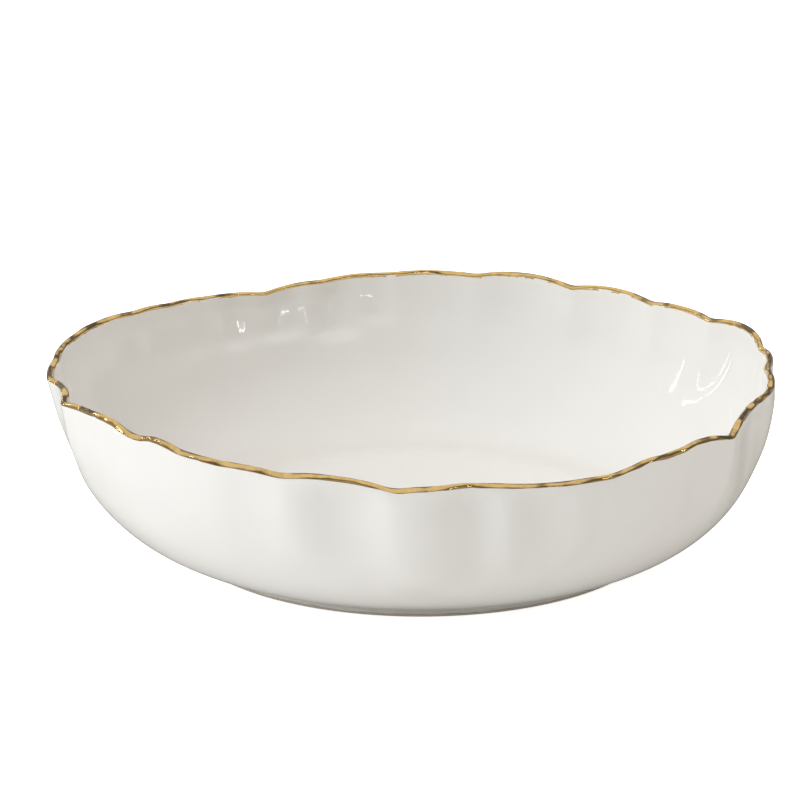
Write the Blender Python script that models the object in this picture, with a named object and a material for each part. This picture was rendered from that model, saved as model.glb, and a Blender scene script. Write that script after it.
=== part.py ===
"""Low porcelain serving bowl with a scalloped lip and a gilded edge.

Metres, +Z up. The bowl stands on its foot ring at z = 0, and the middle of its lip is over the origin.
"""

import math

import bmesh
import bpy
from mathutils import Vector, geometry

# Overall sizes.
LIP_RADIUS = 0.1525  # mean outer radius of the lip
HEIGHT = 0.0725  # mean height of the lip above the table
FOOT_OFFSET = 0.0038  # the hand-formed lip leans: the foot's centre is this far towards +X of the lip's

# Foot ring.
FOOT_RADIUS = 0.1015  # outer radius
FOOT_WIDTH = 0.006
FOOT_HEIGHT = 0.0045
FOOT_ROUNDING = 0.0012  # on the two edges that stand on the table

# Body.
FOOT_SETBACK = 0.0030  # flat of the underside outside the foot ring
WALL_THICKNESS = 0.0046  # where the wall leaves the base
LIP_THICKNESS = 0.0030
FLOOR_THICKNESS = 0.0047
RECESS_RISE = 0.0010  # how far the underside lifts inside the foot ring
RECESS_RUN = 0.006  # how gently it lifts
WELL_TURN = 0.0145  # how far inside the start of the wall the flat of the well ends

# Shape of the wall, one curve from base to lip.
BASE_SLOPE = 15.0  # degrees above the table where the wall leaves the base
LIP_SLOPE = 85.2  # degrees above the table at the lip
BASE_PULL = 0.51  # how far the base's tangent runs, as a share of the wall's reach
LIP_PULL = 0.62  # how far the lip's tangent runs, as a share of the wall's rise

# Gilding, wrapped over the lip in a shallow rebate.
GILT_THICKNESS = 0.00045
GILT_OUTSIDE = 0.0017  # how far it comes down outside
GILT_INSIDE = 0.0011  # how far it comes down inside
CLEARANCE = 0.0003  # between pieces that touch

# The lip's scallops, from the right-hand side (+X) round by the back (+Y). Each starts at a pinch: its angle
# in degrees, and how far the lip stands out and up there, in millimetres. From there to the next pinch the
# lip bows out and up by the last two numbers.
SCALLOPS = (
    (2.0, -0.4, 0.2, 2.3, 0.4),
    (12.5, 3.8, 0.5, 3.8, 2.6),
    (29.0, 1.5, 1.2, 1.2, 1.2),
    (43.5, 0.5, 0.5, 1.7, 2.0),
    (60.5, 0.7, 0.5, 1.7, 2.4),
    (78.5, 1.2, 1.5, 0.9, 0.9),
    (93.5, 1.2, 1.5, 0.5, 0.8),
    (106.5, -0.2, -0.4, 0.6, 0.8),
    (117.0, -2.4, -2.9, 0.4, 0.6),
    (129.0, -0.6, -0.7, 0.2, 0.3),
    (137.0, -0.1, 0.0, 0.3, 0.4),
    (145.0, 0.8, 0.8, 0.3, 0.4),
    (155.0, 2.7, 2.0, 0.4, 0.2),
    (162.0, 3.3, 1.3, 0.8, 0.2),
    (174.0, 1.2, 0.2, 0.4, 0.0),
    (184.5, 0.3, 0.0, -4.0, 0.9),
    (198.5, -2.0, 0.5, -1.5, 1.1),
    (216.5, -6.8, 4.0, 0.0, -0.9),
    (223.0, -7.1, 2.2, -0.2, 1.8),
    (232.5, -4.6, 2.5, -0.3, 0.0),
    (240.5, -3.2, 2.1, -0.4, 0.5),
    (251.0, -1.5, 1.5, -0.8, 1.4),
    (265.0, -0.2, 0.5, 0.5, -1.0),
    (270.0, 0.6, -0.6, 0.3, -0.1),
    (278.0, -0.2, 0.4, 0.1, 0.1),
    (283.0, 0.3, -0.4, 0.0, -0.3),
    (292.0, 2.2, -1.6, 0.3, 0.3),
    (299.5, 2.7, -1.6, -0.2, -0.2),
    (303.5, 0.8, -1.0, -0.4, 0.7),
    (311.0, -0.7, -0.1, -0.2, 0.2),
    (315.0, -0.4, 0.6, -1.5, 1.6),
    (326.0, 1.8, -1.6, -3.8, 1.8),
    (347.0, -1.0, -0.1, 1.0, 0.3),
)
PINCH_ROUNDING = 1.2  # degrees either side of a pinch
BROAD_WAVE = 20.0  # degrees either side that the broad wave of the wall averages over
FLUTES_END = 0.35  # height where the flutes under the scallops run out, as a share of the wall

# Fineness of the turned shapes.
LIP_STEPS = 128
FOOT_STEPS = 96
WALL_STEPS = 9

SEAT_HEIGHT = FOOT_HEIGHT + CLEARANCE
RECESS_HEIGHT = SEAT_HEIGHT + RECESS_RISE
FLOOR_HEIGHT = RECESS_HEIGHT + FLOOR_THICKNESS
WALL_START = FOOT_RADIUS + FOOT_SETBACK
FLOOR_FLAT = WALL_START - WELL_TURN
WALL_TOP_OUTSIDE = HEIGHT - GILT_OUTSIDE - CLEARANCE
WALL_TOP_INSIDE = HEIGHT - GILT_INSIDE - CLEARANCE
REBATE = GILT_THICKNESS + CLEARANCE


def clear_scene():
    for leftover in list(bpy.data.objects):
        bpy.data.objects.remove(leftover)


def glazed_or_metal(name, colour, roughness, metallic):
    """A Principled BSDF material of one colour."""
    finish = bpy.data.materials.new(name)
    finish.use_nodes = True
    shader = finish.node_tree.nodes["Principled BSDF"]
    shader.inputs["Base Color"].default_value = (*colour, 1.0)
    shader.inputs["Roughness"].default_value = roughness
    shader.inputs["Metallic"].default_value = metallic
    return finish


def lip_wave(angle):
    """(out, up) in metres at an angle in degrees, sharp at each pinch."""
    past = [(angle - scallop[0]) % 360.0 for scallop in SCALLOPS]
    number = past.index(min(past))
    start, out, up, bow_out, bow_up = SCALLOPS[number]
    following = SCALLOPS[(number + 1) % len(SCALLOPS)]
    along = past[number] / ((following[0] - start) % 360.0)
    bow = 4.0 * along * (1.0 - along)
    out += (following[1] - out) * along + bow_out * bow
    up += (following[2] - up) * along + bow_up * bow
    return out / 1000.0, up / 1000.0


def mean_wave(angle, spread, samples):
    """The lip's wave averaged over a spread of degrees either side of an angle."""
    near = [lip_wave(angle + spread * (2 * i / (samples - 1) - 1)) for i in range(samples)]
    return sum(out for out, _ in near) / samples, sum(up for _, up in near) / samples


def smooth_step(share):
    share = min(max(share, 0.0), 1.0)
    return share * share * (3.0 - 2.0 * share)


def wall_share(height):
    """How far up the wall a height is, from 0 at the seat of the foot ring to 1 at the lip."""
    return max((height - SEAT_HEIGHT) / (HEIGHT - SEAT_HEIGHT), 0.0)


def scallop_out(vertex, share, waves):
    """Moves one vertex of a turned shape by the lip's wave, less and less down the wall."""
    angle = round(math.degrees(math.atan2(vertex.co.y, vertex.co.x)) % 360.0, 3)
    if angle not in waves:
        waves[angle] = (
            mean_wave(angle, PINCH_ROUNDING, 5),
            mean_wave(angle, BROAD_WAVE, 17)[0],
        )
    (out, up), broad = waves[angle]
    flute = smooth_step((share - FLUTES_END) / (1.0 - FLUTES_END))
    radius = math.hypot(vertex.co.x, vertex.co.y)
    grown = (radius + broad * share**2 + (out - broad) * flute) / radius
    vertex.co.x *= grown
    vertex.co.y *= grown
    vertex.co.z += up * share**3


def hand_form(bm):
    """Scallops the wall of a turned shape and leans it, with its foot towards +X."""
    waves = {}
    for vertex in bm.verts:
        share = wall_share(vertex.co.z)
        if share > 0.0 and math.hypot(vertex.co.x, vertex.co.y) > FLOOR_FLAT:
            scallop_out(vertex, share, waves)
        vertex.co.x += FOOT_OFFSET * (1.0 - share)


def turned(name, profile, steps, finish, closed):
    """An object turned from a profile of (radius, height) points, scalloped, as one closed body."""
    bm = bmesh.new()
    points = [bm.verts.new((radius, 0.0, height)) for radius, height in profile]
    pairs = list(zip(points, points[1:]))
    if closed:
        pairs.append((points[-1], points[0]))
    edges = [bm.edges.new(pair) for pair in pairs]
    bmesh.ops.spin(
        bm,
        geom=points + edges,
        cent=(0.0, 0.0, 0.0),
        axis=(0.0, 0.0, 1.0),
        angle=math.tau,
        steps=steps,
        use_merge=True,
    )
    bmesh.ops.remove_doubles(bm, verts=bm.verts, dist=1e-6)
    hand_form(bm)
    bmesh.ops.recalc_face_normals(bm, faces=bm.faces)
    mesh = bpy.data.meshes.new(name)
    bm.to_mesh(mesh)
    bm.free()
    mesh.shade_smooth()
    mesh.set_sharp_from_angle(angle=math.radians(35.0))
    mesh.materials.append(finish)
    piece = bpy.data.objects.new(name, mesh)
    bpy.context.scene.collection.objects.link(piece)
    return piece


def curve(start, start_handle, end_handle, end, count):
    """Points on one Bezier curve in the plane of the profile."""
    corners = [Vector(corner) for corner in (start, start_handle, end_handle, end)]
    return [Vector(point) for point in geometry.interpolate_bezier(*corners, count)]


def wall_outside():
    """The wall's outer curve, from the base to the underside of the gilding."""
    reach = LIP_RADIUS - WALL_START
    rise = WALL_TOP_OUTSIDE - SEAT_HEIGHT
    start = (WALL_START, SEAT_HEIGHT)
    end = (LIP_RADIUS, WALL_TOP_OUTSIDE)
    base_run = BASE_PULL * reach
    lip_drop = LIP_PULL * rise
    start_handle = (
        start[0] + base_run,
        start[1] + base_run * math.tan(math.radians(BASE_SLOPE)),
    )
    end_handle = (
        end[0] - lip_drop / math.tan(math.radians(LIP_SLOPE)),
        end[1] - lip_drop,
    )
    return curve(start, start_handle, end_handle, end, WALL_STEPS + 1)


def wall_inside(outside):
    """The outer curve moved in by the wall's thickness, from low on the wall to the lip."""
    inside = []
    for number in range(1, len(outside) - 1):
        along = (outside[number + 1] - outside[number - 1]).normalized()
        share = number / (len(outside) - 1)
        thickness = WALL_THICKNESS + (LIP_THICKNESS - WALL_THICKNESS) * share
        inside.append(outside[number] + Vector((-along.y, along.x)) * thickness)
    inside.append(Vector((LIP_RADIUS - LIP_THICKNESS, WALL_TOP_INSIDE)))
    return inside


def well_edge(inside):
    """The turn from the flat of the well into the inner wall."""
    end = inside[0]
    tangent = (inside[1] - inside[0]).normalized()
    reach = end.x - FLOOR_FLAT
    start_handle = (FLOOR_FLAT + reach * 0.5, FLOOR_HEIGHT)
    end_handle = end - tangent * reach * 0.3
    return curve((FLOOR_FLAT, FLOOR_HEIGHT), start_handle, end_handle, end, 5)[:-1]


def lip_core():
    """The rebated lip under the gilding, from outside to inside."""
    outer = LIP_RADIUS - REBATE
    inner = LIP_RADIUS - LIP_THICKNESS + REBATE
    top = HEIGHT - REBATE
    chamfer = (outer - inner) * 0.3
    return [
        (outer, WALL_TOP_OUTSIDE),
        (outer, top - chamfer),
        (outer - chamfer, top),
        (inner + chamfer, top),
        (inner, top - chamfer),
        (inner, WALL_TOP_INSIDE),
    ]


def bowl_body():
    """Shell of the bowl: underside, outer wall, rebated lip, inner wall and well."""
    outside = wall_outside()
    inside = wall_inside(outside)
    foot_inside = FOOT_RADIUS - FOOT_WIDTH - CLEARANCE
    profile = [
        (0.0, RECESS_HEIGHT),
        (foot_inside - RECESS_RUN, RECESS_HEIGHT),
        (foot_inside, SEAT_HEIGHT),
        *outside,
        *lip_core(),
        *reversed(inside),
        *reversed(well_edge(inside)),
        (0.0, FLOOR_HEIGHT),
    ]
    finish = glazed_or_metal("white_glaze", (0.84, 0.82, 0.78), 0.12, 0.0)
    return turned("bowl_body", profile, LIP_STEPS, finish, closed=False)


def foot_ring():
    """Ring that the bowl stands on, with a narrow flat between two rounded edges."""
    outer = FOOT_RADIUS
    inner = FOOT_RADIUS - FOOT_WIDTH
    turn = FOOT_ROUNDING * (1.0 - math.cos(math.radians(45.0)))
    profile = [
        (outer, FOOT_HEIGHT),
        (inner, FOOT_HEIGHT),
        (inner, FOOT_ROUNDING),
        (inner + turn, turn),
        (inner + FOOT_ROUNDING, 0.0),
        (outer - FOOT_ROUNDING, 0.0),
        (outer - turn, turn),
        (outer, FOOT_ROUNDING),
    ]
    finish = glazed_or_metal("bare_porcelain", (0.70, 0.67, 0.61), 0.65, 0.0)
    return turned("foot_ring", profile, FOOT_STEPS, finish, closed=True)


def rim_gilding():
    """Gold coat wrapped over the lip, flush with the wall inside and out."""
    outer = LIP_RADIUS
    inner = LIP_RADIUS - LIP_THICKNESS
    under = HEIGHT - GILT_THICKNESS
    chamfer_out = (outer - inner) * 0.3
    chamfer_in = (outer - inner - 2 * REBATE) * 0.3
    profile = [
        (outer, HEIGHT - GILT_OUTSIDE),
        (outer, HEIGHT - chamfer_out),
        (outer - chamfer_out, HEIGHT),
        (inner + chamfer_out, HEIGHT),
        (inner, HEIGHT - chamfer_out),
        (inner, HEIGHT - GILT_INSIDE),
        (inner + GILT_THICKNESS, HEIGHT - GILT_INSIDE),
        (inner + GILT_THICKNESS, under - chamfer_in),
        (inner + GILT_THICKNESS + chamfer_in, under),
        (outer - GILT_THICKNESS - chamfer_in, under),
        (outer - GILT_THICKNESS, under - chamfer_in),
        (outer - GILT_THICKNESS, HEIGHT - GILT_OUTSIDE),
    ]
    finish = glazed_or_metal("gold_lustre", (0.80, 0.56, 0.22), 0.15, 1.0)
    return turned("rim_gilding", profile, LIP_STEPS, finish, closed=True)


def main():
    clear_scene()
    bowl_body()
    foot_ring()
    rim_gilding()


main()
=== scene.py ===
"""Low porcelain serving bowl with a scalloped, gilded lip, modelled around its fixed frame.

Metres, +Z up. The bowl stands on its foot ring at z = 0, and the middle of its lip is over the origin.
"""

import math

import bmesh
import bpy
from bpy.props import FloatProperty, FloatVectorProperty, IntProperty, PointerProperty
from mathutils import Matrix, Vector, geometry, noise


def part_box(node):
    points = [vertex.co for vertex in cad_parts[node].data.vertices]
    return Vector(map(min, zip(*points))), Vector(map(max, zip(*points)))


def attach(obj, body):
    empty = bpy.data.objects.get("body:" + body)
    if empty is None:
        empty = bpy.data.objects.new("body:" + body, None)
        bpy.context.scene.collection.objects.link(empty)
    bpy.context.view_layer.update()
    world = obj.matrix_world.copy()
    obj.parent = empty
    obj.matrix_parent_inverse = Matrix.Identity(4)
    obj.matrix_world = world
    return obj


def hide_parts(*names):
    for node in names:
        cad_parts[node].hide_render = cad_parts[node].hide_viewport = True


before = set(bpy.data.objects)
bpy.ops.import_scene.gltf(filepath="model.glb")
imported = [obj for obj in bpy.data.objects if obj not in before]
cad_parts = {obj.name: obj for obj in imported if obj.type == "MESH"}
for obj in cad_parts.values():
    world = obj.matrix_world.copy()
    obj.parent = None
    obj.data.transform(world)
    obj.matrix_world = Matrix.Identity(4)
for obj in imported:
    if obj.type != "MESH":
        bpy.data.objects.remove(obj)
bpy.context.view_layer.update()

bl_info = {
    "name": "Gilded serving bowl",
    "version": (1, 0, 0),
    "blender": (4, 5, 0),
    "location": "View3D > Sidebar > Bowl",
    "description": "Models a scalloped porcelain serving bowl with a gold edge",
    "category": "Object",
}

BODY = "root"

FOOT_LOW, FOOT_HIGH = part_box("foot_ring")

# The lip's scallops, from the right-hand side (+X) round by the back (+Y). Each starts at a pinch: its angle
# in degrees, and how far the lip stands out and up there, in millimetres. From there to the next pinch the
# lip bows out and up by the last two numbers.
SCALLOPS = (
    (2.0, -0.4, 0.2, 2.3, 0.4),
    (12.5, 3.8, 0.5, 3.8, 2.6),
    (29.0, 1.5, 1.2, 1.2, 1.2),
    (43.5, 0.5, 0.5, 1.7, 2.0),
    (60.5, 0.7, 0.5, 1.7, 2.4),
    (78.5, 1.2, 1.5, 0.9, 0.9),
    (93.5, 1.2, 1.5, 0.5, 0.8),
    (106.5, -0.2, -0.4, 0.6, 0.8),
    (117.0, -2.4, -2.9, 0.4, 0.6),
    (129.0, -0.6, -0.7, 0.2, 0.3),
    (137.0, -0.1, 0.0, 0.3, 0.4),
    (145.0, 0.8, 0.8, 0.3, 0.4),
    (155.0, 2.7, 2.0, 0.4, 0.2),
    (162.0, 3.3, 1.3, 0.8, 0.2),
    (174.0, 1.2, 0.2, 0.4, 0.0),
    (184.5, 0.3, 0.0, -4.0, 0.9),
    (198.5, -2.0, 0.5, -1.5, 1.1),
    (216.5, -6.8, 4.0, 0.0, -0.9),
    (223.0, -7.1, 2.2, -0.2, 1.8),
    (232.5, -4.6, 2.5, -0.3, 0.0),
    (240.5, -3.2, 2.1, -0.4, 0.5),
    (251.0, -1.5, 1.5, -0.8, 1.4),
    (265.0, -0.2, 0.5, 0.5, -1.0),
    (270.0, 0.6, -0.6, 0.3, -0.1),
    (278.0, -0.2, 0.4, 0.1, 0.1),
    (283.0, 0.3, -0.4, 0.0, -0.3),
    (292.0, 2.2, -1.6, 0.3, 0.3),
    (299.5, 2.7, -1.6, -0.2, -0.2),
    (303.5, 0.8, -1.0, -0.4, 0.7),
    (311.0, -0.7, -0.1, -0.2, 0.2),
    (315.0, -0.4, 0.6, -1.5, 1.6),
    (326.0, 1.8, -1.6, -3.8, 1.8),
    (347.0, -1.0, -0.1, 1.0, 0.3),
)
PINCH_ROUNDING = 1.0  # degrees either side of a pinch
BROAD_WAVE = 20.0  # degrees either side that the broad wave of the wall averages over

# Where a thumb pressed the soft wall out (or in, below zero) under the lip: the middle and half-width in
# degrees, the depth in millimetres, and, as shares of the wall, the height where the press ends and how far
# above that it comes in.
PRESSES = (
    (7.0, 5.0, 0.9, 0.44, 0.24),
    (20.5, 7.0, 1.3, 0.40, 0.24),
    (36.0, 6.5, 0.8, 0.47, 0.24),
    (52.0, 7.5, 0.7, 0.42, 0.24),
    (69.0, 8.0, 0.6, 0.48, 0.24),
    (86.0, 6.5, 0.7, 0.52, 0.24),
    (96.5, 2.6, 1.5, 0.66, 0.07),
    (104.5, 3.6, 3.2, 0.58, 0.07),
    (115.5, 4.4, 3.2, 0.62, 0.07),
    (124.4, 3.0, 2.6, 0.60, 0.07),
    (133.0, 3.6, 1.3, 0.60, 0.07),
    (141.0, 3.8, 1.4, 0.48, 0.24),
    (150.0, 4.6, 0.8, 0.47, 0.24),
    (168.0, 5.5, 0.8, 0.44, 0.24),
    (179.0, 5.0, -0.8, 0.42, 0.24),
    (191.5, 6.5, -1.0, 0.40, 0.24),
    (208.5, 9.0, -0.9, 0.37, 0.24),
    (225.5, 6.8, -0.7, 0.37, 0.24),
    (245.0, 4.5, -0.4, 0.34, 0.24),
    (252.5, 4.2, 1.4, 0.36, 0.24),
    (260.0, 4.2, -1.9, 0.39, 0.24),
    (270.3, 4.6, 3.3, 0.18, 0.24),
    (279.0, 3.4, -2.4, 0.24, 0.24),
    (283.6, 2.2, 1.7, 0.34, 0.24),
    (289.0, 2.6, -1.4, 0.34, 0.24),
    (295.0, 2.0, 1.5, 0.37, 0.24),
    (301.0, 4.0, -0.5, 0.37, 0.24),
    (320.5, 5.0, -0.6, 0.37, 0.24),
    (330.5, 4.0, 0.7, 0.34, 0.24),
    (337.0, 7.0, -0.6, 0.42, 0.24),
    (353.0, 6.0, 0.7, 0.42, 0.24),
)
PRESS_HEAD = 0.86  # share of the wall where a press starts to fade towards the lip
CRINKLE = 0.0002  # small unevenness of the lip

TURNED_STEPS = 576
WALL_POINTS = 44
LIP_POINTS = 20
GILT_POINTS = 22
RING_STEPS = 384
INNER_START = 8  # the point of the outer curve that the inner wall starts opposite
EDGE_POINTS = 26
FLAT_RINGS = 12
LIFT_POINTS = 8
PINCH_SAMPLES = 9
BROAD_SAMPLES = 41

SEAT_GAP = 0.0003  # the frame keeps this gap between the foot ring and the base
FOOT_ROUND = 0.0012  # radius of the standing ring's two lower edges
FOOT_ROUND_POINTS = 8
GILT_SWAY = 0.22  # how far the gold's edges wander, as a share of the lip's round

SPECK = (0.52, 0.44, 0.33, 1.0)  # iron specks in the glaze
FIRED_FLASH = (0.60, 0.47, 0.33, 1.0)  # where the glaze stops above the bare edge
SANDY_GRAIN = (0.40, 0.34, 0.27, 1.0)

FLOOR_SIZE = 6.0
FLOOR_GLOW = 0.13  # light the floor sends up under the bowl, beyond what falls on it
FLOOR_LIFT = 0.8  # the floor's own glow when looked at directly, which makes it nearly white
FLOOR_PAPER = (0.90, 0.895, 0.885, 1.0)
FLOOR_MIRRORED = (0.22, 0.20, 0.17, 1.0)  # the floor as the bowl mirrors it, darker than it looks
SKY_TILT = (-0.25, 0.12, 1.0)  # the way the sky brightens
SKY_DIM = 0.15  # along the tilt, where the sky starts to brighten
SKY_BRIGHT = 0.80  # along the tilt, where it is at its brightest
SKY_LOW = 0.13
SKY_HIGH = 0.80
SKY_COLOUR = (1.0, 0.99, 0.965, 1.0)

# Softboxes: name, azimuth from +X and elevation in degrees, distance, width, height in metres, watts, colour,
# and whether it shows in reflections or only lights the bowl, which no real box does.
SOFTBOXES = (
    ("key_wall", 190.0, 26.0, 1.6, 1.8, 1.4, 14.4, (0.90, 0.95, 1.0), False),
    ("key_front", 222.0, 30.0, 1.6, 0.8, 0.8, 1.8, (0.90, 0.95, 1.0), False),
    ("top_front", 268.0, 72.0, 1.7, 1.4, 1.0, 3.6, (0.99, 0.995, 1.0), False),
    ("fill_right", 8.0, 28.0, 1.6, 1.8, 1.2, 5.4, (1.0, 0.93, 0.82), False),
    ("glint_low", 300.0, 7.0, 1.5, 0.40, 0.02, 0.45, (1.0, 1.0, 1.0), True),
    ("glint_tall", 312.0, 12.0, 1.5, 0.02, 0.20, 0.25, (1.0, 1.0, 1.0), True),
    ("glint_back", 152.0, 9.0, 1.5, 0.02, 0.55, 0.45, (1.0, 1.0, 1.0), True),
    ("glint_side", 160.0, 12.0, 1.5, 0.015, 0.40, 0.25, (1.0, 1.0, 1.0), True),
)
LIGHTS_AIM = 0.04  # height above the floor that every softbox faces

CAMERA_DISTANCE = 1.30  # from the middle of the lip
CAMERA_ELEVATION = math.radians(16.8)
CAMERA_LENS = 138.6  # mm, for a sensor 36 mm wide
AIM_LEFT = 0.0044  # how far the aim is from the middle of the lip
AIM_BELOW = 0.0130
SENSOR_WIDTH = 36.0


class BowlSizes(bpy.types.PropertyGroup):
    lip_radius: FloatProperty(
        name="Lip radius",
        description="Mean outer radius of the lip",
        default=0.1525,
        unit="LENGTH",
    )
    height: FloatProperty(
        name="Height",
        description="Mean height of the lip",
        default=0.0725,
        unit="LENGTH",
    )
    foot_offset: FloatProperty(
        name="Foot offset",
        description="How far the foot stands to the side of the lip",
        default=(FOOT_LOW.x + FOOT_HIGH.x) / 2,
        unit="LENGTH",
    )
    foot_radius: FloatProperty(
        name="Foot radius",
        description="Outer radius of the foot ring",
        default=(FOOT_HIGH.x - FOOT_LOW.x) / 2,
        unit="LENGTH",
    )
    foot_width: FloatProperty(
        name="Foot width",
        description="Width of the foot ring",
        default=0.006,
        unit="LENGTH",
    )
    foot_height: FloatProperty(
        name="Foot height",
        description="Height of the foot ring",
        default=FOOT_HIGH.z,
        unit="LENGTH",
    )
    foot_setback: FloatProperty(
        name="Foot setback",
        description="Flat of the underside outside the foot ring",
        default=0.0030,
        unit="LENGTH",
    )
    wall_thickness: FloatProperty(
        name="Wall",
        description="Thickness of the wall where it leaves the base",
        default=0.0046,
        unit="LENGTH",
    )
    lip_thickness: FloatProperty(
        name="Lip",
        description="Thickness of the lip",
        default=0.0030,
        unit="LENGTH",
    )
    floor_thickness: FloatProperty(
        name="Floor",
        description="Thickness of the floor of the well",
        default=0.0047,
        unit="LENGTH",
    )
    recess_rise: FloatProperty(
        name="Recess rise",
        description="How far the underside lifts inside the foot ring",
        default=0.0010,
        unit="LENGTH",
    )
    recess_run: FloatProperty(
        name="Recess run",
        description="How gently the underside lifts",
        default=0.006,
        unit="LENGTH",
    )
    floor_flat: FloatProperty(
        name="Well radius",
        description="Radius of the flat part of the well",
        default=0.062,
        unit="LENGTH",
    )
    base_slope: FloatProperty(
        name="Base slope",
        description="Slope of the wall where it leaves the base",
        default=math.radians(15.0),
        unit="ROTATION",
    )
    lip_slope: FloatProperty(
        name="Lip slope",
        description="Slope of the wall at the lip",
        default=math.radians(85.2),
        unit="ROTATION",
    )
    base_pull: FloatProperty(
        name="Base pull",
        description="Fullness of the wall near the base",
        default=0.51,
        subtype="FACTOR",
    )
    lip_pull: FloatProperty(
        name="Lip pull",
        description="Fullness of the wall near the lip",
        default=0.62,
        subtype="FACTOR",
    )
    flutes_end: FloatProperty(
        name="Flutes end",
        description="Height where the flutes run out, as a share of the wall",
        default=0.35,
        subtype="FACTOR",
    )
    gilt_outside: FloatProperty(
        name="Gold outside",
        description="Share of the lip's outer round that is gilded",
        default=1.0,
        subtype="FACTOR",
    )
    gilt_inside: FloatProperty(
        name="Gold inside",
        description="Share of the lip's inner round that is gilded",
        default=0.85,
        subtype="FACTOR",
    )
    gilt_thickness: FloatProperty(
        name="Gold coat",
        description="Thickness of the coat of gold",
        default=0.00007,
        unit="LENGTH",
    )


class BowlFinishes(bpy.types.PropertyGroup):
    glaze: FloatVectorProperty(
        name="Glaze",
        description="Colour of the glazed porcelain",
        subtype="COLOR",
        size=4,
        default=(0.86, 0.84, 0.805, 1.0),
    )
    bare: FloatVectorProperty(
        name="Bare porcelain",
        description="Colour of the unglazed standing edge",
        subtype="COLOR",
        size=4,
        default=(0.70, 0.66, 0.59, 1.0),
    )
    gold: FloatVectorProperty(
        name="Gold",
        description="Colour of the burnished gold",
        subtype="COLOR",
        size=4,
        default=(0.84, 0.58, 0.24, 1.0),
    )


# --------------------------------------------------------------------------------- hand-formed shape


def lip_wave(angle):
    """(out, up) in metres at an angle in degrees, sharp at each pinch."""
    past = [(angle - scallop[0]) % 360.0 for scallop in SCALLOPS]
    number = past.index(min(past))
    start, out, up, bow_out, bow_up = SCALLOPS[number]
    following = SCALLOPS[(number + 1) % len(SCALLOPS)]
    along = past[number] / ((following[0] - start) % 360.0)
    bow = 4.0 * along * (1.0 - along)
    out += (following[1] - out) * along + bow_out * bow
    up += (following[2] - up) * along + bow_up * bow
    return out / 1000.0, up / 1000.0


def mean_wave(angle, spread, samples):
    """The lip's wave averaged over a spread of degrees either side of an angle."""
    near = [lip_wave(angle + spread * (2 * i / (samples - 1) - 1)) for i in range(samples)]
    return sum(out for out, _ in near) / samples, sum(up for _, up in near) / samples


def smooth_step(share):
    share = min(max(share, 0.0), 1.0)
    return share * share * (3.0 - 2.0 * share)


def turn_between(angle, middle):
    """The turn in degrees from one angle to another, the short way round."""
    return (angle - middle + 180.0) % 360.0 - 180.0


def pressed_at(angle):
    """The presses of the thumb that reach an angle: how deep each is there, in metres, and where it ends."""
    felt = []
    for middle, half_width, depth, toe, ramp in PRESSES:
        across = turn_between(angle, middle) / (2.0 * half_width)
        if abs(across) < 1.0:
            felt.append((depth / 1000.0 * (1.0 - across**2) ** 3, toe, ramp))
    return felt


def press_rise(share, toe, ramp):
    """How much of a press is felt at a share of the wall: none below its toe or at the lip."""
    head = 1.0 - smooth_step((share - PRESS_HEAD) / (1.0 - PRESS_HEAD))
    return smooth_step((share - toe) / ramp) * head


class HandForm:
    """The scalloping and the lean that turn a thrown shape into the hand-formed one."""

    def __init__(self, sizes):
        self.seat = sizes.foot_height + SEAT_GAP
        self.height = sizes.height
        self.flat = sizes.floor_flat
        self.offset = sizes.foot_offset
        self.flutes_end = sizes.flutes_end
        self.waves = {}

    def wave(self, angle):
        key = round(angle % 360.0, 3)
        if key not in self.waves:
            out, up = mean_wave(key, PINCH_ROUNDING, PINCH_SAMPLES)
            around = Vector((math.cos(math.radians(key)), math.sin(math.radians(key)), 0.0))
            out += CRINKLE * noise.noise(around * 13.0)
            up += CRINKLE * noise.noise(around * 13.0 + Vector((0.0, 0.0, 7.0)))
            self.waves[key] = (out, up, mean_wave(key, BROAD_WAVE, BROAD_SAMPLES)[0], pressed_at(key))
        return self.waves[key]

    def move(self, vertex):
        share = max((vertex.co.z - self.seat) / (self.height - self.seat), 0.0)
        radius = math.hypot(vertex.co.x, vertex.co.y)
        if share > 0.0 and radius > self.flat:
            angle = math.degrees(math.atan2(vertex.co.y, vertex.co.x))
            out, up, broad, felt = self.wave(angle)
            flute = smooth_step((share - self.flutes_end) / (1.0 - self.flutes_end))
            pressed = sum(dish * press_rise(share, toe, ramp) for dish, toe, ramp in felt)
            grown = (radius + broad * share**2 + (out - broad) * flute + pressed) / radius
            vertex.co.x *= grown
            vertex.co.y *= grown
            vertex.co.z += up * share**3
        vertex.co.x += self.offset * (1.0 - share)


def curve(start, start_handle, end_handle, end, count):
    """Points on one Bezier curve in the plane of the profile."""
    corners = [Vector(corner) for corner in (start, start_handle, end_handle, end)]
    return [Vector(point) for point in geometry.interpolate_bezier(*corners, count)]


def arc(centre, radius, start, end, count):
    """Points on an arc in the plane of the profile, with its angles in degrees."""
    turns = [math.radians(start + (end - start) * i / (count - 1)) for i in range(count)]
    return [Vector((centre[0] + radius * math.cos(t), centre[1] + radius * math.sin(t))) for t in turns]


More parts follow.
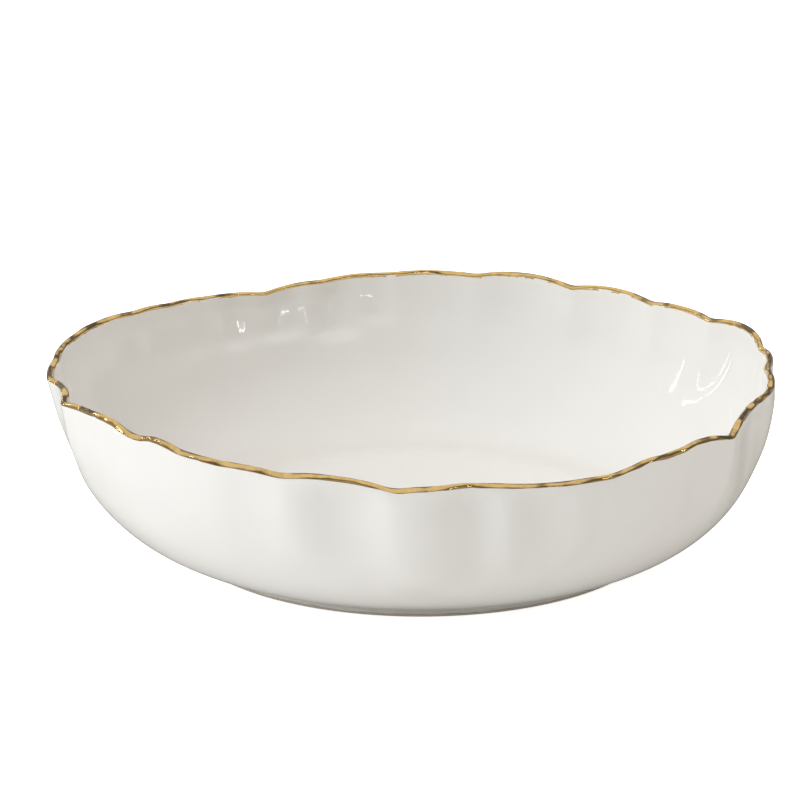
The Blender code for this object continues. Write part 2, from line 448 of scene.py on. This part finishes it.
class Profile:
    """The bowl's outline in the plane of radius and height."""

    def __init__(self, sizes):
        self.sizes = sizes
        self.seat = sizes.foot_height + SEAT_GAP
        self.recess = self.seat + sizes.recess_rise
        self.floor = self.recess + sizes.floor_thickness
        self.start = sizes.foot_radius + sizes.foot_setback
        self.round = sizes.lip_thickness / 2

    def outside(self):
        """The wall's outer curve, from the base to where the lip starts to round over."""
        s = self.sizes
        top = s.height - self.round
        reach = s.lip_radius - self.start
        rise = top - self.seat
        base_run = s.base_pull * reach
        lip_drop = s.lip_pull * rise
        handle_low = (self.start + base_run, self.seat + base_run * math.tan(s.base_slope))
        handle_high = (s.lip_radius - lip_drop / math.tan(s.lip_slope), top - lip_drop)
        return curve((self.start, self.seat), handle_low, handle_high, (s.lip_radius, top), WALL_POINTS)

    def lip(self, grow=0.0, count=LIP_POINTS):
        """The round of the lip, from outside to inside."""
        s = self.sizes
        centre = (s.lip_radius - self.round, s.height - self.round)
        return arc(centre, self.round + grow, 0.0, 180.0, count)

    def inside(self, outside):
        """The outer curve moved in by the wall's thickness, from low on the wall to the lip."""
        s = self.sizes
        points = []
        for number in range(INNER_START, len(outside) - 1):
            along = (outside[number + 1] - outside[number - 1]).normalized()
            share = number / (len(outside) - 1)
            thickness = s.wall_thickness + (s.lip_thickness - s.wall_thickness) * share
            points.append(outside[number] + Vector((-along.y, along.x)) * thickness)
        return points

    def well_edge(self, inside):
        """The turn from the flat of the well into the inner wall."""
        s = self.sizes
        end = inside[0]
        tangent = (inside[1] - inside[0]).normalized()
        reach = end.x - s.floor_flat
        start_handle = (s.floor_flat + reach * 0.5, self.floor)
        end_handle = end - tangent * reach * 0.45
        return curve((s.floor_flat, self.floor), start_handle, end_handle, end, EDGE_POINTS)[:-1]

    def whole(self):
        """Every point of the shell, from the middle of the underside round to the middle of the well."""
        s = self.sizes
        foot_inside = s.foot_radius - s.foot_width
        outside = self.outside()
        inside = self.inside(outside)
        edge = self.well_edge(inside)
        flat = foot_inside - s.recess_run
        underside = [Vector((r / FLAT_RINGS * flat, self.recess)) for r in range(FLAT_RINGS)]
        lift = curve(
            (flat, self.recess),
            (foot_inside - s.recess_run * 0.5, self.recess),
            (foot_inside - s.recess_run * 0.5, self.seat),
            (foot_inside, self.seat),
            LIFT_POINTS,
        )
        well = [Vector((r / FLAT_RINGS * s.floor_flat, self.floor)) for r in reversed(range(FLAT_RINGS))]
        return underside + lift + outside + self.lip()[1:-1] + inside[::-1] + edge[::-1] + well


def turned(points, steps, closed=False):
    """A bmesh turned from a profile of (radius, height) points."""
    bm = bmesh.new()
    verts = [bm.verts.new((point[0], 0.0, point[1])) for point in points]
    pairs = list(zip(verts, verts[1:]))
    if closed:
        pairs.append((verts[-1], verts[0]))
    edges = [bm.edges.new(pair) for pair in pairs]
    bmesh.ops.spin(bm, geom=verts + edges, cent=(0, 0, 0), axis=(0, 0, 1), angle=math.tau, steps=steps,
                   use_merge=True)
    bmesh.ops.remove_doubles(bm, verts=bm.verts, dist=1e-7)
    return bm


def finished(name, bm, node, material):
    """Turns a bmesh into a piece that rides on the bowl and stands for one node of the frame."""
    bmesh.ops.recalc_face_normals(bm, faces=bm.faces)
    mesh = bpy.data.meshes.new(name)
    bm.to_mesh(mesh)
    bm.free()
    mesh.shade_smooth()
    mesh.materials.append(material)
    piece = bpy.data.objects.new(name, mesh)
    bpy.context.scene.collection.objects.link(piece)
    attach(piece, BODY)
    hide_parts(node)
    return piece


# ----------------------------------------------------------------------------------------- materials


def node(tree, kind, inputs=None, **settings):
    """A node of a kind, with its own settings, and its inputs linked or set by name."""
    made = tree.nodes.new(kind)
    made.location = (200.0 * (len(tree.nodes) % 8), -260.0 * (len(tree.nodes) // 8))
    for name, value in settings.items():
        setattr(made, name, value)
    for name, value in (inputs or {}).items():
        if isinstance(value, bpy.types.NodeSocket):
            tree.links.new(value, made.inputs[name])
        else:
            made.inputs[name].default_value = value
    return made


def new_material(name):
    """An empty node material and its Principled BSDF."""
    material = bpy.data.materials.new(name)
    material.use_nodes = True
    shader = material.node_tree.nodes["Principled BSDF"]
    return material, material.node_tree, shader


def grouped(name, inputs, outputs):
    """An empty node group with its sockets, and its input and output nodes."""
    group = bpy.data.node_groups.new(name, "ShaderNodeTree")
    for socket, kind, default in inputs:
        made = group.interface.new_socket(socket, in_out="INPUT", socket_type=kind)
        if default is not None:
            made.default_value = default
    for socket, kind in outputs:
        group.interface.new_socket(socket, in_out="OUTPUT", socket_type=kind)
    return group, group.nodes.new("NodeGroupInput").outputs, group.nodes.new("NodeGroupOutput").inputs


def put_out(group, outputs, name, socket):
    group.links.new(socket, outputs[name])


def kiln_cloud():
    """Soft clouding left by the kiln: a mask that drifts between 0 and 1 over the surface."""
    group, given, out = grouped(
        "kiln_cloud",
        (
            ("Vector", "NodeSocketVector", None),
            ("Scale", "NodeSocketFloat", 10.0),
            ("Softness", "NodeSocketFloat", 0.25),
        ),
        (("Mask", "NodeSocketFloat"),),
    )
    cloud = node(
        group,
        "ShaderNodeTexNoise",
        {
            "Vector": given["Vector"],
            "Scale": given["Scale"],
            "Detail": 3.0,
            "Roughness": 0.55,
            "Distortion": 0.4,
        },
    )
    low = node(group, "ShaderNodeMath", {0: 0.5, 1: given["Softness"]}, operation="SUBTRACT")
    high = node(group, "ShaderNodeMath", {0: 0.5, 1: given["Softness"]}, operation="ADD")
    mask = node(
        group,
        "ShaderNodeMapRange",
        {"Value": cloud.outputs["Fac"], "From Min": low.outputs["Value"], "From Max": high.outputs["Value"]},
        interpolation_type="SMOOTHSTEP",
    )
    put_out(group, out, "Mask", mask.outputs["Result"])
    return group


def kiln_specks():
    """Sparse pinholes and specks: 1 inside one, 0 elsewhere. Size is in shares of the spacing."""
    group, given, out = grouped(
        "kiln_specks",
        (
            ("Vector", "NodeSocketVector", None),
            ("Scale", "NodeSocketFloat", 160.0),
            ("Size", "NodeSocketFloat", 0.08),
            ("Share", "NodeSocketFloat", 0.05),
        ),
        (("Mask", "NodeSocketFloat"),),
    )
    cells = node(group, "ShaderNodeTexVoronoi", {"Vector": given["Vector"], "Scale": given["Scale"]})
    chance = node(group, "ShaderNodeSeparateColor", {"Color": cells.outputs["Color"]})
    chosen = node(
        group,
        "ShaderNodeMath",
        {0: chance.outputs["Red"], 1: given["Share"]},
        operation="LESS_THAN",
    )
    size = node(group, "ShaderNodeMath", {0: given["Size"], 1: chance.outputs["Green"]}, operation="MULTIPLY")
    inner = node(group, "ShaderNodeMath", {0: size.outputs["Value"], 1: 0.4}, operation="MULTIPLY")
    spot = node(
        group,
        "ShaderNodeMapRange",
        {
            "Value": cells.outputs["Distance"],
            "From Min": size.outputs["Value"],
            "From Max": inner.outputs["Value"],
        },
    )
    both = node(group, "ShaderNodeMath", {0: spot.outputs["Result"], 1: chosen.outputs["Value"]},
                operation="MULTIPLY")
    put_out(group, out, "Mask", both.outputs["Value"])
    return group


def hand_ripple():
    """Height of a hand-worked surface: a slow ripple with a fine skin over it."""
    group, given, out = grouped(
        "hand_ripple",
        (
            ("Vector", "NodeSocketVector", None),
            ("Ripple Scale", "NodeSocketFloat", 30.0),
            ("Skin Scale", "NodeSocketFloat", 600.0),
            ("Skin", "NodeSocketFloat", 0.05),
        ),
        (("Height", "NodeSocketFloat"),),
    )
    ripple = node(group, "ShaderNodeTexNoise", {"Vector": given["Vector"], "Scale": given["Ripple Scale"],
                                                "Detail": 1.5, "Roughness": 0.4})
    skin = node(group, "ShaderNodeTexNoise", {"Vector": given["Vector"], "Scale": given["Skin Scale"],
                                              "Detail": 2.0})
    fine = node(group, "ShaderNodeMath", {0: skin.outputs["Fac"], 1: given["Skin"]}, operation="MULTIPLY")
    height = node(
        group,
        "ShaderNodeMath",
        {0: ripple.outputs["Fac"], 1: fine.outputs["Value"]},
        operation="ADD",
    )
    put_out(group, out, "Height", height.outputs["Value"])
    return group


def surface_group(name, build):
    """A shared node group, built the first time it is asked for."""
    return bpy.data.node_groups.get(name) or build()


def place(tree, name, build, **values):
    """One placed copy of a shared group, with its own values."""
    inputs = {key.replace("_", " "): value for key, value in values.items()}
    made = tree.nodes.new("ShaderNodeGroup")
    made.node_tree = surface_group(name, build)
    made.location = (200.0 * (len(tree.nodes) % 8), -260.0 * (len(tree.nodes) // 8))
    for key, value in inputs.items():
        if isinstance(value, bpy.types.NodeSocket):
            tree.links.new(value, made.inputs[key])
        else:
            made.inputs[key].default_value = value
    return made


def tint(tree, mask, under, over):
    """A colour that goes from one to the other with a mask."""
    mixed = node(tree, "ShaderNodeMix", data_type="RGBA", clamp_factor=True)
    for name, value in (("Factor_Float", mask), ("A_Color", under), ("B_Color", over)):
        socket = next(found for found in mixed.inputs if found.identifier == name)
        if isinstance(value, bpy.types.NodeSocket):
            tree.links.new(value, socket)
        else:
            socket.default_value = value
    return next(found for found in mixed.outputs if found.identifier == "Result_Color")


def shaded(colour, share):
    """A colour made darker or lighter by a share, with its alpha kept."""
    return (*(min(part * share, 1.0) for part in colour[:3]), colour[3])


def white_glaze(colour, bare):
    """Clear glossy glaze over warm white porcelain: clouded, faintly rippled, and darker and browner towards
    the foot.
    """
    material, tree, shader = new_material("white_glaze")
    where = node(tree, "ShaderNodeTexCoord").outputs["Object"]
    cloud = place(tree, "kiln_cloud", kiln_cloud, Vector=where, Scale=14.0, Softness=0.3)
    specks = place(tree, "kiln_specks", kiln_specks, Vector=where, Scale=130.0, Size=0.055, Share=0.035)
    pale = tint(tree, cloud.outputs["Mask"], colour, shaded(colour, 0.972))
    height = node(tree, "ShaderNodeSeparateXYZ", {"Vector": where})
    # The colour turns darker and browner towards the foot: fully below 4.5 mm, fading out by 9.5 mm.
    foot_darkening = node(tree, "ShaderNodeMapRange", {"Value": height.outputs["Z"], "From Min": 0.0095,
                                                "From Max": 0.0045}, interpolation_type="SMOOTHSTEP")
    darker_at_foot = tint(tree, foot_darkening.outputs["Result"], pale, shaded(bare, 1.1))
    spotted = tint(tree, specks.outputs["Mask"], darker_at_foot, SPECK)
    tree.links.new(spotted, shader.inputs["Base Color"])
    gloss = node(
        tree,
        "ShaderNodeMapRange",
        {"Value": cloud.outputs["Mask"], "To Min": 0.035, "To Max": 0.07},
    )
    dull = node(
        tree,
        "ShaderNodeMath",
        {0: gloss.outputs["Result"], 1: specks.outputs["Mask"]},
        operation="ADD",
    )
    tree.links.new(dull.outputs["Value"], shader.inputs["Roughness"])
    ripple = place(
        tree,
        "hand_ripple",
        hand_ripple,
        Vector=where,
        Ripple_Scale=26.0,
        Skin_Scale=520.0,
        Skin=0.02,
    )
    pitted = node(tree, "ShaderNodeMath", {0: specks.outputs["Mask"], 1: 0.08}, operation="MULTIPLY")
    level = node(tree, "ShaderNodeMath", {0: ripple.outputs["Height"], 1: pitted.outputs["Value"]},
                 operation="SUBTRACT")
    bump = node(
        tree,
        "ShaderNodeBump",
        {"Height": level.outputs["Value"], "Strength": 1.0, "Distance": 0.0008},
    )
    tree.links.new(bump.outputs["Normal"], shader.inputs["Normal"])
    shader.inputs["IOR"].default_value = 1.5
    return material


def bare_porcelain(colour, glaze):
    """Glazed down the sides of the standing ring, ground bare and slightly sandy where it meets the table."""
    material, tree, shader = new_material("bare_porcelain")
    where = node(tree, "ShaderNodeTexCoord").outputs["Object"]
    height = node(tree, "ShaderNodeSeparateXYZ", {"Vector": where})
    cloud = place(tree, "kiln_cloud", kiln_cloud, Vector=where, Scale=90.0, Softness=0.3)
    edge = node(
        tree,
        "ShaderNodeMapRange",
        {"Value": cloud.outputs["Mask"], "To Min": 0.0010, "To Max": 0.0017},
    )
    over = node(
        tree,
        "ShaderNodeMath",
        {0: height.outputs["Z"], 1: edge.outputs["Result"]},
        operation="SUBTRACT",
    )
    glazed = node(tree, "ShaderNodeMapRange", {"Value": over.outputs["Value"], "From Min": 0.0,
                                               "From Max": 0.0002})
    flash = node(tree, "ShaderNodeMapRange", {"Value": over.outputs["Value"], "From Min": -0.0006,
                                              "From Max": 0.0})
    specks = place(tree, "kiln_specks", kiln_specks, Vector=where, Scale=700.0, Size=0.3, Share=0.12)
    body = tint(tree, cloud.outputs["Mask"], colour, shaded(colour, 0.93))
    toasted = tint(tree, flash.outputs["Result"], body, FIRED_FLASH)
    sandy = tint(tree, specks.outputs["Mask"], toasted, SANDY_GRAIN)
    tree.links.new(tint(tree, glazed.outputs["Result"], sandy, glaze), shader.inputs["Base Color"])
    gloss = node(
        tree,
        "ShaderNodeMapRange",
        {"Value": glazed.outputs["Result"], "To Min": 0.72, "To Max": 0.10},
    )
    tree.links.new(gloss.outputs["Result"], shader.inputs["Roughness"])
    grain = place(
        tree,
        "hand_ripple",
        hand_ripple,
        Vector=where,
        Ripple_Scale=160.0,
        Skin_Scale=2600.0,
        Skin=0.5,
    )
    bare = node(
        tree,
        "ShaderNodeMapRange",
        {"Value": glazed.outputs["Result"], "To Min": 1.0, "To Max": 0.15},
    )
    level = node(tree, "ShaderNodeMath", {0: grain.outputs["Height"], 1: bare.outputs["Result"]},
                 operation="MULTIPLY")
    bump = node(
        tree,
        "ShaderNodeBump",
        {"Height": level.outputs["Value"], "Strength": 0.7, "Distance": 0.0002},
    )
    tree.links.new(bump.outputs["Normal"], shader.inputs["Normal"])
    return material


def gold_lustre(colour, glaze):
    """Burnished gold, brushed on by hand: thicker and thinner along the lip, with a few tiny misses."""
    material, tree, shader = new_material("gold_lustre")
    where = node(tree, "ShaderNodeTexCoord").outputs["Object"]
    cloud = place(tree, "kiln_cloud", kiln_cloud, Vector=where, Scale=70.0, Softness=0.22)
    patch = place(tree, "kiln_cloud", kiln_cloud, Vector=where, Scale=420.0, Softness=0.2)
    misses = place(tree, "kiln_specks", kiln_specks, Vector=where, Scale=420.0, Size=0.16, Share=0.05)
    deep = tint(tree, cloud.outputs["Mask"], colour, shaded(colour, 0.8))
    rubbed = tint(tree, patch.outputs["Mask"], deep, shaded(colour, 1.06))
    tree.links.new(tint(tree, misses.outputs["Mask"], rubbed, glaze), shader.inputs["Base Color"])
    metal = node(tree, "ShaderNodeMath", {0: 1.0, 1: misses.outputs["Mask"]}, operation="SUBTRACT")
    tree.links.new(metal.outputs["Value"], shader.inputs["Metallic"])
    gloss = node(tree, "ShaderNodeMapRange", {"Value": patch.outputs["Mask"], "To Min": 0.05, "To Max": 0.12})
    tree.links.new(gloss.outputs["Result"], shader.inputs["Roughness"])
    strokes = place(tree, "hand_ripple", hand_ripple, Vector=where, Ripple_Scale=55.0, Skin_Scale=1400.0,
                    Skin=0.002)
    bump = node(tree, "ShaderNodeBump", {"Height": strokes.outputs["Height"], "Strength": 1.0,
                                         "Distance": 0.013})
    tree.links.new(bump.outputs["Normal"], shader.inputs["Normal"])
    return material


# ----------------------------------------------------------------------------------------- operators


class BOWL_OT_porcelain(bpy.types.Operator):
    """Model the glazed porcelain shell of the bowl"""

    bl_idname = "bowl.porcelain"
    bl_label = "Porcelain shell"

    def execute(self, context):
        sizes = context.scene.bowl_sizes
        bm = turned(Profile(sizes).whole(), TURNED_STEPS)
        form = HandForm(sizes)
        for vertex in bm.verts:
            form.move(vertex)
        finishes = context.scene.bowl_finishes
        material = white_glaze(tuple(finishes.glaze), tuple(finishes.bare))
        finished("porcelain_shell", bm, "bowl_body", material)
        return {"FINISHED"}


class BOWL_OT_foot_ring(bpy.types.Operator):
    """Model the ring that the bowl stands on"""

    bl_idname = "bowl.foot_ring"
    bl_label = "Foot ring"

    def execute(self, context):
        sizes = context.scene.bowl_sizes
        outer = sizes.foot_radius
        inner = outer - sizes.foot_width
        top = sizes.foot_height + SEAT_GAP * 1.5
        points = [Vector((outer, top))]
        points += arc((outer - FOOT_ROUND, FOOT_ROUND), FOOT_ROUND, 0.0, -90.0, FOOT_ROUND_POINTS)
        points += arc((inner + FOOT_ROUND, FOOT_ROUND), FOOT_ROUND, -90.0, -180.0, FOOT_ROUND_POINTS)
        points.append(Vector((inner, top)))
        bm = turned(points, RING_STEPS, closed=True)
        form = HandForm(sizes)
        for vertex in bm.verts:
            form.move(vertex)
        finishes = context.scene.bowl_finishes
        material = bare_porcelain(tuple(finishes.bare), tuple(finishes.glaze))
        finished("standing_ring", bm, "foot_ring", material)
        return {"FINISHED"}


def paint_edge(vertex, sizes):
    """Draws the gold in towards the top of the lip, unevenly, as a brush held by hand leaves it."""
    rounding = sizes.lip_thickness / 2
    radius = math.hypot(vertex.co.x, vertex.co.y)
    across = radius - sizes.lip_radius + rounding
    above = vertex.co.z - sizes.height + rounding
    from_top = math.pi / 2 - math.atan2(above, across)
    around = Vector((vertex.co.x, vertex.co.y, 0.0)) / radius
    if from_top > 0.0:
        cover = sizes.gilt_outside + GILT_SWAY * noise.noise(around * 7.0)
        cover += GILT_SWAY * noise.noise(around * 23.0)
    else:
        cover = sizes.gilt_inside + GILT_SWAY * noise.noise(around * 8.0 + Vector((0.0, 0.0, 5.0)))
    from_top *= min(cover, 1.0)
    coat = math.hypot(across, above)
    moved = (radius - across + coat * math.sin(from_top)) / radius
    vertex.co.x *= moved
    vertex.co.y *= moved
    vertex.co.z = sizes.height - rounding + coat * math.cos(from_top)


class BOWL_OT_gilding(bpy.types.Operator):
    """Model the coat of gold over the lip"""

    bl_idname = "bowl.gilding"
    bl_label = "Gilded edge"

    def execute(self, context):
        sizes = context.scene.bowl_sizes
        profile = Profile(sizes)
        skin = profile.lip(sizes.gilt_thickness, GILT_POINTS)
        back = profile.lip(-sizes.gilt_thickness, GILT_POINTS)[::-1]
        bm = turned(skin + back, TURNED_STEPS, closed=True)
        form = HandForm(sizes)
        for vertex in bm.verts:
            paint_edge(vertex, sizes)
            form.move(vertex)
        finishes = context.scene.bowl_finishes
        material = gold_lustre(tuple(finishes.gold), tuple(finishes.glaze))
        finished("gold_edge", bm, "rim_gilding", material)
        return {"FINISHED"}


class BOWL_OT_stage(bpy.types.Operator):
    """Set up the pale floor, the soft studio light and the camera"""

    bl_idname = "bowl.stage"
    bl_label = "Stage"

    def execute(self, context):
        scene = context.scene
        scene.view_settings.view_transform = "Standard"
        pale_floor()
        studio_sky(scene)
        softboxes()
        camera(scene)
        return {"FINISHED"}


def pale_floor():
    bm = bmesh.new()
    bmesh.ops.create_grid(bm, x_segments=1, y_segments=1, size=FLOOR_SIZE)
    mesh = bpy.data.meshes.new("floor")
    bm.to_mesh(mesh)
    bm.free()
    material, tree, shader = new_material("floor_paper")
    shader.inputs["Roughness"].default_value = 0.9
    shader.inputs["Specular IOR Level"].default_value = 0.1
    shader.inputs["Emission Color"].default_value = (1.0, 1.0, 1.0, 1.0)
    seen = node(tree, "ShaderNodeLightPath")
    paper = tint(tree, seen.outputs["Is Glossy Ray"], FLOOR_PAPER, FLOOR_MIRRORED)
    tree.links.new(paper, shader.inputs["Base Color"])
    lift = node(tree, "ShaderNodeMapRange", {"Value": seen.outputs["Is Camera Ray"], "To Min": FLOOR_GLOW,
                                             "To Max": FLOOR_LIFT})
    tree.links.new(lift.outputs["Result"], shader.inputs["Emission Strength"])
    mesh.materials.append(material)
    floor = bpy.data.objects.new("floor", mesh)
    bpy.context.scene.collection.objects.link(floor)


def studio_sky(scene):
    """Soft light from all round: bright overhead and to the left, dim along the horizon."""
    world = bpy.data.worlds.new("studio")
    world.use_nodes = True
    tree = world.node_tree
    tree.nodes.clear()
    direction = node(tree, "ShaderNodeTexCoord")
    tilt = node(tree, "ShaderNodeVectorMath", {0: direction.outputs["Generated"], 1: SKY_TILT},
                operation="DOT_PRODUCT")
    level = node(
        tree,
        "ShaderNodeMapRange",
        {
            "Value": tilt.outputs["Value"],
            "From Min": SKY_DIM,
            "From Max": SKY_BRIGHT,
            "To Min": SKY_LOW,
            "To Max": SKY_HIGH,
        },
        interpolation_type="SMOOTHSTEP",
    )
    background = node(tree, "ShaderNodeBackground", {"Color": SKY_COLOUR,
                                                    "Strength": level.outputs["Result"]})
    node(tree, "ShaderNodeOutputWorld", {"Surface": background.outputs["Background"]})
    scene.world = world


def softboxes():
    middle = Vector((0.0, 0.0, LIGHTS_AIM))
    for name, azimuth, elevation, distance, width, height, watts, colour, shows in SOFTBOXES:
        flat = math.cos(math.radians(elevation))
        towards = Vector((
            flat * math.cos(math.radians(azimuth)),
            flat * math.sin(math.radians(azimuth)),
            math.sin(math.radians(elevation)),
        ))
        lamp = bpy.data.lights.new(name, "AREA")
        lamp.shape = "RECTANGLE"
        lamp.size = width
        lamp.size_y = height
        lamp.energy = watts
        lamp.color = colour
        light = bpy.data.objects.new(name, lamp)
        light.location = middle + towards * distance
        light.rotation_euler = (-towards).to_track_quat("-Z", "Y").to_euler()
        light.visible_glossy = shows
        bpy.context.scene.collection.objects.link(light)


def camera(scene):
    data = bpy.data.cameras.new("camera")
    data.lens = CAMERA_LENS
    data.sensor_width = SENSOR_WIDTH
    middle = Vector((0.0, 0.0, scene.bowl_sizes.height))
    up = Vector((0.0, math.sin(CAMERA_ELEVATION), math.cos(CAMERA_ELEVATION)))
    back = Vector((0.0, -math.cos(CAMERA_ELEVATION), math.sin(CAMERA_ELEVATION)))
    stand = middle + back * CAMERA_DISTANCE
    target = middle - up * AIM_BELOW - Vector((AIM_LEFT, 0.0, 0.0))
    seen = bpy.data.objects.new("camera", data)
    seen.location = stand
    seen.rotation_euler = (target - stand).to_track_quat("-Z", "Y").to_euler()
    scene.collection.objects.link(seen)
    scene.camera = seen


class BOWL_PT_panel(bpy.types.Panel):
    """Lists the bowl's pieces"""

    bl_idname = "BOWL_PT_panel"
    bl_label = "Serving bowl"
    bl_space_type = "VIEW_3D"
    bl_region_type = "UI"
    bl_category = "Bowl"

    def draw(self, context):
        for step in STEPS:
            self.layout.operator(step.bl_idname)


STEPS = (BOWL_OT_porcelain, BOWL_OT_foot_ring, BOWL_OT_gilding, BOWL_OT_stage)
CLASSES = (BowlSizes, BowlFinishes, *STEPS, BOWL_PT_panel)


def register():
    for item in CLASSES:
        bpy.utils.register_class(item)
    bpy.types.Scene.bowl_sizes = PointerProperty(type=BowlSizes)
    bpy.types.Scene.bowl_finishes = PointerProperty(type=BowlFinishes)


def unregister():
    del bpy.types.Scene.bowl_finishes
    del bpy.types.Scene.bowl_sizes
    for item in reversed(CLASSES):
        bpy.utils.unregister_class(item)


def main():
    register()
    bpy.ops.bowl.porcelain()
    bpy.ops.bowl.foot_ring()
    bpy.ops.bowl.gilding()
    bpy.ops.bowl.stage()


if __name__ == "__main__":
    main()
